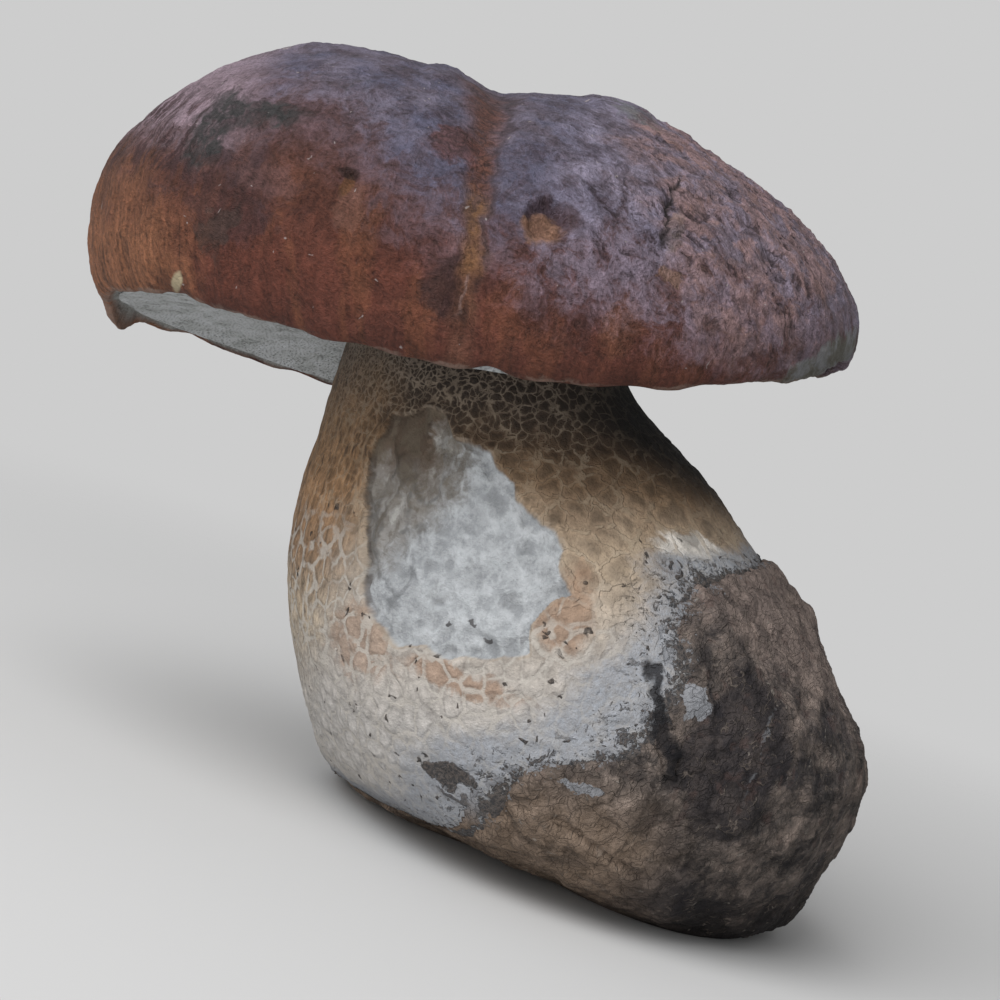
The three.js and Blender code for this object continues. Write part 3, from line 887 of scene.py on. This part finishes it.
def cap_place(azimuth, down):
    """The dome, the rim that turns in under it with its torn and curled places, and the hidden underside"""
    fullness = 2.4 - 0.6 * faces_right(azimuth)
    radius = cap_radius(azimuth)
    rim = rim_height(azimuth)
    widest = rim + widest_above_rim(azimuth)
    torn_flap = -3.2 * swell(turn_between(azimuth, 2.97) / 0.09)
    waves = 0.2 * np.sin(17 * azimuth + 1) + 0.2 * np.sin(29 * azimuth)
    waves = waves + 0.5 * swell(turn_between(azimuth, -1.47) / 0.05)
    waves = waves + 3.2 * swell(turn_between(azimuth, -0.1) / 0.06)
    dome = np.clip(down / DOME, 0, 1) * math.pi / 2
    out = radius * np.sin(dome) ** (2 / fullness)
    rise = np.clip(np.cos(dome), 0, 1) ** (2 / fullness)
    swelling = cap_swell(out * np.cos(azimuth), out * np.sin(azimuth)) * np.minimum(1, 1.6 * rise)
    z = widest + (CAP_TOP - widest) * rise + swelling
    tuck = np.clip((down - DOME) / TUCK, 0, 1) * math.pi / 2
    out = out - tucked_in(azimuth) * (1 - np.cos(tuck))
    z = z - widest_above_rim(azimuth) * np.sin(tuck) + (torn_flap + waves) * np.sin(tuck) ** 3
    lip = ease(down, DOME + TUCK, DOME + TUCK + LIP)
    under = np.clip((down - DOME - TUCK - LIP) / (1 - DOME - TUCK - LIP), 0, 1)
    out = (out - lip) * (1 - under)
    z = z + (0.6 - torn_flap) * lip
    z = z + (5 - z) * np.sqrt(under)
    return from_cap(out * np.cos(azimuth), out * np.sin(azimuth), z)


cap, cap_mm = grown("cap_skin", 540, 176, cap_place)
own = (cap_mm - np.array(CAP_CENTRE)) @ np.array(cap_frame.to_3x3())
around = np.arctan2(own[:, 1], own[:, 0])
run_down = np.hypot(own[:, 0], own[:, 1]) - own[:, 2]
note(
    cap,
    place=cap_mm,
    own=own,
    grain=np.stack([50 * np.cos(around), 50 * np.sin(around), run_down], axis=1),
    rim=rim_height(around),
    beneath=ease(rim_radius(around) - np.hypot(own[:, 0], own[:, 1]), 0.3, 0.9) * ease(-own[:, 2], -9, -7),
)


def crease_mask(own):
    """1 along the crease between the two crowns, on the front"""
    x, y, _ = own.parts()
    off = x + 1.2 + 0.03 * y + (cloud(own, 6, 3.0) - 0.5) * 6
    wide = 2.2 + 2.2 * (-y).ease(46, 26) + 2.4 * (cloud(own, 9) - 0.5)
    return (abs(off) / wide).ease(1.25, 0.1) * (-y).ease(8, 26)


def crack_mask(place):
    """1 along the narrow crack on the right crown"""
    x, y, z = place.parts()
    middle = x + 22.6 + 4 * (cloud(place, 5) - 0.5) + 1.8 * (cloud(place, 1.5) - 0.5)
    wide = 0.4 + 1.0 * cloud(place, 2.4).ease(0.42, 0.6)
    return (abs(middle) / wide).ease(1.0, 0.0) * band(z, 103.8, 6.6, 0.7) * (-y).ease(8, 20)


def shrivelled(own):
    """1 where the right crown has dried and shrunk"""
    return spot(own, (39, -14, 20), (21, 38, 26), 0.9, 9)


def wrinkles(place):
    """Fine ridges that run down to the right, about 0.5"""
    slanted = drawn_out(wandered(wandered(place, 7, 3.4), 1.8, 1.0), (0.85, -0.1, -0.52), 2.3)
    return cloud(slanted, 1.5, 4.0, 0.62)


def ploughed(place):
    """1 in the patch on the front of the right crown where the wrinkles carry on"""
    return spot(place, (-27, -40, 99), (9, 12, 7), 0.8, 5)


def torn_off(place):
    """1 where the rim's right end has been torn away, low down"""
    return spot(wandered(place, 3, 1.0), (13.0, -8, 87.6), (6.5, 17, 3.6), 0.3, 4)


def cap_height(tree):
    """The cap's relief in mm"""
    place = known(tree, "place", True)
    own = known(tree, "own", True)
    grain = known(tree, "grain", True)
    _, y, z = own.parts()
    crease = -0.5 * crease_mask(own) * (-y).ease(58, 48)
    pit = -1.9 * spot(place, (-39.0, -43.8, 96.6), (3.0, 7, 3.2), 0.6, 3)
    pit_floor = spot(place, (-39.2, -43.8, 95.3), (3.4, 9, 2.8), 0.9, 1.8)
    pit = pit + 0.9 * pit_floor * cell_middle(place, 1.6).ease(0.8, 0.2)
    dent = -0.7 * spot(place, (-67.6, -41.4, 93.4), (1.6, 7, 1.4), 0.8, 3)
    ridges = 2.0 * (wrinkles(place) - 0.5) * shrivelled(own)
    furrows = 1.6 * (wrinkles(place) - 0.5) * ploughed(place)
    lumps = 1.5 * (cloud(place, 14) - 0.5) + 1.1 * (cloud(wandered(place, 5, 2), 6, 3.0, 0.6) - 0.5)
    flutes = 0.9 * (cloud(stretched(grain, 1, 1, 6), 6) - 0.5) * (14 - z).ease(0, 12)
    fine = 0.4 * (cloud(wandered(place, 4, 1.5), 1.8, 3.0) - 0.5)
    knobs = 0.5 * spot(place, (-60.5, -14, 114.5), (3, 14, 3), 0.6, 3)
    knobs = knobs + 0.7 * spot(place, (-33.4, -6, 118.1), (5.5, 16, 3), 0.6, 3)
    whole = crease + pit + dent + ridges + furrows + lumps + flutes + fine + knobs - 0.7 * crack_mask(place)
    return whole * z.ease(-10, -2) - 2.4 * torn_off(place)


raise_relief(cap, cap_height)


def cap_paint(tree):
    """The cap's colours: its brown and tan skin, the grey bloom with a painted sheen, dark places and painted
    shade, wrinkles, the crease and marks
    """
    place = known(tree, "place", True)
    own = known(tree, "own", True)
    grain = known(tree, "grain", True)
    own_x, _, own_z = own.parts()
    x, y, z = place.parts()
    rough = wandered(wandered(place, 6, 3.0), 1.6, 1.2)
    rough_z = rough.parts()[2]
    streaks = cloud(stretched(wandered(grain, 6, 1.4), 1, 1, 9), 0.9, 4.0, 0.6)
    hairs = cloud(drawn_out(wandered(place, 7, 3), (0.8, 0.1, -0.5), 3.5), 0.75, 4.0, 0.75)
    grit = cloud(place, 0.55, 3.0, 0.8)
    mottle = cloud(rough, 4, 5.0, 0.7)
    patches = cloud(place, 9, 4.0, 0.6)
    broken = mottle.ease(0.34, 0.56)

    colour = ramp(
        own_z + 16 * (mottle - 0.5), (-8, tint(84, 48, 39)), (5, tint(90, 50, 39)), (14, tint(82, 49, 39)),
        (24, tint(80, 53, 48)), (34, tint(86, 65, 66)),
    )
    orange = cloud(stretched(wandered(grain, 8, 3), 1, 1, 3), 7, 4.0).ease(0.48, 0.64)
    orange = orange * (19 - own_z).ease(-3, 8) * (0.7 - 0.35 * x.ease(-60, -30))
    colour = blend(colour, tint(110, 68, 48), orange)
    glow = spot(rough, (-24, -45, 85.5), (2.6, 10, 4.4), 1.0, 4)
    colour = blend(colour, tint(112, 72, 54), 0.6 * glow * (0.5 + broken))
    tan = (-x + 18 * (mottle - 0.5)).ease(82, 95) * (z + 12 * (mottle - 0.5)).ease(87, 74)
    tan = tan.most(0.6 * (-x).ease(93, 100) * (z + 12 * (mottle - 0.5)).ease(92, 82))
    colour = blend(colour, tint(140, 95, 68), 0.76 * tan)
    dark = cloud(rough, 8, 4.0, 0.65).ease(0.5, 0.62) * (own_z + 6 * (patches - 0.5)).ease(5, 12)
    colour = blend(colour, tint(54, 41, 42), 0.65 * dark * (1 - 0.7 * tan))

    lowest = 104 - 10 * x.ease(-74, -54) + 4 * x.ease(-44, -28)
    frayed = rough_z - lowest + 12 * (mottle - 0.5) + 4 * (hairs - 0.5)
    mauve = (frayed + 7 + 4 * x.ease(-44, -32)).ease(-5, 5)
    colour = blend(colour, tint(96, 78, 85), 0.62 * mauve * (0.6 + 0.5 * broken))
    # The bluish grey on the crowns is partly the skin's grey bloom and partly a painted sheen: the pale
    # room's light reflected on the cap's top, painted palest on the right crown.
    bloom_and_sheen = frayed.ease(-4, 5)
    bloom_and_sheen_colours = blend(tint(84, 83, 102), tint(103, 97, 112), patches.ease(0.38, 0.6))
    colour = blend(colour, bloom_and_sheen_colours, bloom_and_sheen * (0.62 + 0.36 * broken))
    colour = blend(colour, tint(140, 132, 150), 0.5 * bloom_and_sheen.most(0.8 * mauve) * x.ease(-44, -36) * broken)
    veins = cloud(rough, 5, 6.0, 0.75).ease(0.5, 0.58) * bloom_and_sheen
    colour = blend(colour, tint(68, 56, 64), 0.45 * veins)
    left_blush = (-x).ease(80, 92) * (rough_z + 8 * (mottle - 0.5)).ease(87, 97)
    colour = blend(colour, tint(142, 124, 134), 0.8 * left_blush)
    combed = cloud(stretched(wandered(grain, 6, 2.5), 1, 1, 7), 2.0, 4.0, 0.65).ease(0.48, 0.57)
    combed = combed * (-x).ease(84, 91) * z.ease(83, 89) * z.ease(102, 97)
    colour = blend(colour, tint(60, 40, 42), 0.8 * combed)

    green = any_of(
        spot(rough, (-84, -30, 99), (9, 14, 2.8), 1.3, 4),
        spot(rough, (-90, -30, 94), (3.4, 12, 5.5), 1.3, 4),
        0.8 * spot(rough, (-73, -18, 107), (5, 12, 1.6), 1.2, 3),
    )
    colour = blend(colour, tint(52, 52, 52), 0.88 * green * (0.35 + 0.75 * broken))
    dim = spot(rough, (-82, -33, 86), (8, 14, 7), 2.4, 5)
    colour = blend(colour, tint(60, 42, 45), 0.5 * dim)
    charcoal = spot(rough, (-84, -35, 80.5), (3.2, 9, 3.6), 2.2, 3)
    colour = blend(colour, tint(54, 46, 42), 0.6 * charcoal)
    shadow = spot(rough, (-49, -46, 84), (4.0, 9, 6.0), 1.2, 4)
    colour = blend(colour, tint(46, 34, 36), 0.75 * shadow)
    # Painted shade low on the cap's front and right.
    front_shade = any_of(
        spot(rough, (-33, -46, 85), (7, 14, 5), 1.2, 6),
        0.8 * spot(rough, (-12, -38, 91), (6, 14, 4), 1.2, 5),
        0.9 * spot(rough, (4, -21, 95), (7, 14, 6), 1.2, 5),
    )
    colour = blend(colour, tint(52, 40, 44), 0.4 * front_shade * cloud(place, 6, 4.0, 0.65).ease(0.4, 0.55))
    flush = spot(rough, (-78, -34, 90), (6, 10, 3), 1.2, 4)
    colour = blend(colour, tint(104, 76, 74), 0.55 * flush)

    shrunk = shrivelled(own)
    ridges = wrinkles(place)
    parched = shrunk * (0.25 + 0.9 * cloud(rough, 6, 4.0, 0.6).ease(0.42, 0.58))
    colour = blend(colour, tint(142, 114, 112), 0.8 * parched.least(1.0))
    olive = cloud(rough, 3.4, 4.0, 0.65).ease(0.55, 0.64) * shrunk
    colour = blend(colour, tint(144, 112, 102), 0.4 * olive)
    colour = blend(colour, tint(112, 100, 108), 0.35 * cloud(place, 5, 3.0).ease(0.5, 0.64) * shrunk)
    furrowed = (shrunk + ploughed(place)).least(1.0)
    # Painted shadow in the furrows between the wrinkles.
    colour = blend(colour, tint(46, 34, 38), 0.75 * ridges.ease(0.48, 0.36) * furrowed)

    crease = crease_mask(own)
    split = ramp(
        rough_z, (79, tint(88, 56, 44)), (85, tint(100, 68, 52)), (88, tint(116, 82, 56)),
        (96, tint(108, 78, 56)), (99, tint(94, 62, 52)), (107, tint(92, 62, 55)),
    )
    colour = blend(colour, split, crease * (0.6 + 0.4 * broken))
    reddish = spot(rough, (-54.5, -36, 103), (3.4, 10, 3.0), 1.2, 3)
    colour = blend(colour, tint(86, 54, 50), 0.75 * reddish)
    torn = cell_edge(drawn_out(wandered(rough, 2, 1), (1, 0, 0.25), 3), 1.2).ease(0.14, 0.0)
    colour = blend(colour, tint(42, 31, 31), 0.6 * torn * crease.most(reddish) * z.ease(90, 98))
    brink = band(crease, 0.35, 0.3) * own_x.ease(-1.5, 1.5) * z.ease(84, 90)
    colour = blend(colour, tint(50, 42, 46), 0.5 * brink)
    white = spot(drawn_out(rough, (0.4, 0, 0.9), 2), (-45.9, -47, 86.0), (0.7, 6, 1.3), 0.8, 1.2)
    colour = blend(colour, tint(150, 144, 146), 0.8 * white)
    seam = band(x + 3 * (cloud(place, 2.5) - 0.5), -46.8, 0.45) * band(z, 83, 3.6, 0.6) * (-y).ease(20, 40)
    colour = blend(colour, tint(132, 108, 102), 0.6 * seam)

    # Painted shade round the inside of the pit's edge.
    pit_shade = spot(place, (-38.6, -43.8, 97.0), (4.6, 9, 3.4), 1.3, 2.4)
    colour = blend(colour, tint(60, 40, 40), 0.7 * pit_shade)
    bitten = spot(place, (-39.2, -43.8, 95.3), (3.1, 9, 2.7), 0.9, 1.8)
    crumbs = blend(tint(142, 108, 88), tint(104, 74, 58), cell_middle(rough, 1.8))
    colour = blend(colour, crumbs, 0.85 * bitten)
    rust = spot(rough, (-66, -43.5, 89.6), (2.4, 9, 3.6), 1.2, 3)
    colour = blend(colour, tint(108, 74, 62), 0.7 * rust)
    dent = spot(place, (-67.4, -41.4, 92.6), (1.0, 9, 1.9), 0.8, 2)
    colour = blend(colour, tint(98, 66, 42), 0.8 * dent)
    dent_shade = spot(place, (-67.6, -41.4, 94.4), (1.9, 9, 0.7), 0.8, 2)
    colour = blend(colour, tint(46, 32, 30), 0.75 * dent_shade)
    # Painted shadow: near black along the crack.
    crack = crack_mask(place)
    colour = blend(colour, tint(36, 30, 30), 0.9 * crack)
    mossy = spot(rough, (-20.8, -38, 101.5), (1.2, 9, 5), 1.0, 2)
    colour = blend(colour, tint(104, 92, 82), 0.45 * mossy * broken * (1 - crack))
    pale = spot(rough, (-19.6, -41, 94.8), (1.8, 7, 1.2), 1.0, 2)
    colour = blend(colour, tint(132, 104, 90), 0.7 * pale)
    ledge = spot(rough, (-30, -8, 117), (5.5, 12, 1.6), 1.0, 3)
    colour = blend(colour, tint(100, 108, 104), 0.5 * ledge * broken)

    streaked = (1 - bloom_and_sheen) * (0.45 + 0.55 * tan)
    light = streaked * (2.6 * streaks - 1.3) + 2.0 * hairs + 1.8 * mottle + 1.5 * grit - 1.54
    colour = scaled(colour, light.most(0.35))
    flecks = specks(rough, 1.0, 0.02)
    colour = blend(colour, tint(170, 160, 158), 0.7 * flecks)
    cream = spot(place, (-87.7, -31, 71.8), (0.95, 6, 1.9), 0.6, 1.5)
    colour = blend(colour, tint(186, 172, 142), 0.95 * cream)
    flap = (rough.parts()[0] - 0.85 * (z - 88) + 5 * (mottle - 0.5)).ease(2.2, 3.8)
    flap = flap * rough_z.ease(98, 95) * (-y).ease(2, 10)
    torn_flesh = blend(tint(108, 107, 96), tint(120, 122, 123), mottle.ease(0.4, 0.6))
    colour = blend(colour, scaled(torn_flesh, 0.1 + 1.8 * mottle), 0.9 * flap)

    above_rim = own_z - known(tree, "rim")
    thin_rim = (above_rim + 2.4 * (cloud(place, 2.5, 3.0) - 0.5)).ease(0.55, 0.1)
    colour = blend(colour, tint(140, 118, 106), 0.7 * thin_rim * cloud(place, 5).ease(0.42, 0.55))
    flesh = blend(tint(138, 137, 133), tint(178, 179, 176), mottle.ease(0.4, 0.6))
    colour = blend(colour, flesh, known(tree, "beneath"))
    relief = 0.9 * (streaks * streaked + hairs + ridges * furrowed) + mottle + 0.6 * grit
    return {"Base Color": colour, "Normal": bumped(relief), "Roughness": 0.56 + 0.24 * mottle}


finish(cap, "cap skin", cap_paint, Specular_IOR_Level=0.26)
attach(cap, "root")
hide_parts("cap")

# Floor: a plain pale disc whose rim fades into the room, so that no horizon shows
bm = bmesh.new()
bmesh.ops.create_circle(bm, cap_ends=True, segments=96, radius=0.6)
floor_mesh = bpy.data.meshes.new("floor")
bm.to_mesh(floor_mesh)
bm.free()
floor = bpy.data.objects.new("floor", floor_mesh)
bpy.context.scene.collection.objects.link(floor)


def floor_paint(tree):
    place = Wire(tree).node("ShaderNodeTexCoord", (), (), 3)
    return {"Alpha": far(place).ease(0.42, 0.1)}


FLOOR_GREY = (0.63, 0.63, 0.63, 1)
finish(floor, "pale floor", floor_paint, Base_Color=FLOOR_GREY, Roughness=0.9, Specular_IOR_Level=0.0)

# Light: an even pale room, one large soft lamp above on the left, and a weak one low down on the left
world = bpy.data.worlds.new("room")
bpy.context.scene.world = world
world.use_nodes = True
room = Wire(world.node_tree)
ROOM_GREY = tint(205, 205, 205)
seen = room.node("ShaderNodeBackground", (), {"Color": ROOM_GREY, "Strength": 1.0})
shining = room.node("ShaderNodeBackground", (), {"Color": ROOM_GREY, "Strength": 0.68})
looked_at = room.node("ShaderNodeLightPath")
both = room.node("ShaderNodeMixShader", (), {0: looked_at, 1: shining, 2: seen})
world.node_tree.links.new(both.socket, world.node_tree.nodes["World Output"].inputs[0])


def lamp(name, place, towards, size, watts):
    data = bpy.data.lights.new(name, "AREA")
    data.shape = "DISK"
    data.size = size
    data.energy = watts
    made = bpy.data.objects.new(name, data)
    bpy.context.scene.collection.objects.link(made)
    made.location = place
    made.rotation_euler = (Vector(towards) - Vector(place)).to_track_quat("-Z", "Y").to_euler()


lamp("key", (-0.45, -0.55, 0.8), (-0.03, 0, 0.06), 1.0, 9.5)
lamp("fill", (-0.5, -0.9, 0.1), (-0.03, 0, 0.04), 0.8, 3.6)

# Camera: a little above the mushroom, which lay tipped on the edge of its foot when it was pictured. It
# stands here, so the camera is rolled by as much as it was tipped.
ROLL = math.radians(18)
LOOKS_DOWN = math.radians(4)
LOOKS_AT = Vector((-0.0321, 0, 0.0541))
AWAY = 0.378

right = Vector((math.cos(ROLL), 0, math.sin(ROLL)))
leaning_up = Vector((-math.sin(ROLL), 0, math.cos(ROLL)))
forward = math.cos(LOOKS_DOWN) * Vector((0, 1, 0)) - math.sin(LOOKS_DOWN) * leaning_up
up = math.cos(LOOKS_DOWN) * leaning_up + math.sin(LOOKS_DOWN) * Vector((0, 1, 0))
camera_data = bpy.data.cameras.new("camera")
camera_data.lens = 85
camera_data.sensor_width = 36
camera = bpy.data.objects.new("camera", camera_data)
bpy.context.scene.collection.objects.link(camera)
facing = Matrix((right, up, -forward)).transposed().to_4x4()
camera.matrix_world = Matrix.Translation(LOOKS_AT - AWAY * forward) @ facing
bpy.context.scene.camera = camera
bpy.context.scene.view_settings.view_transform = "Standard"
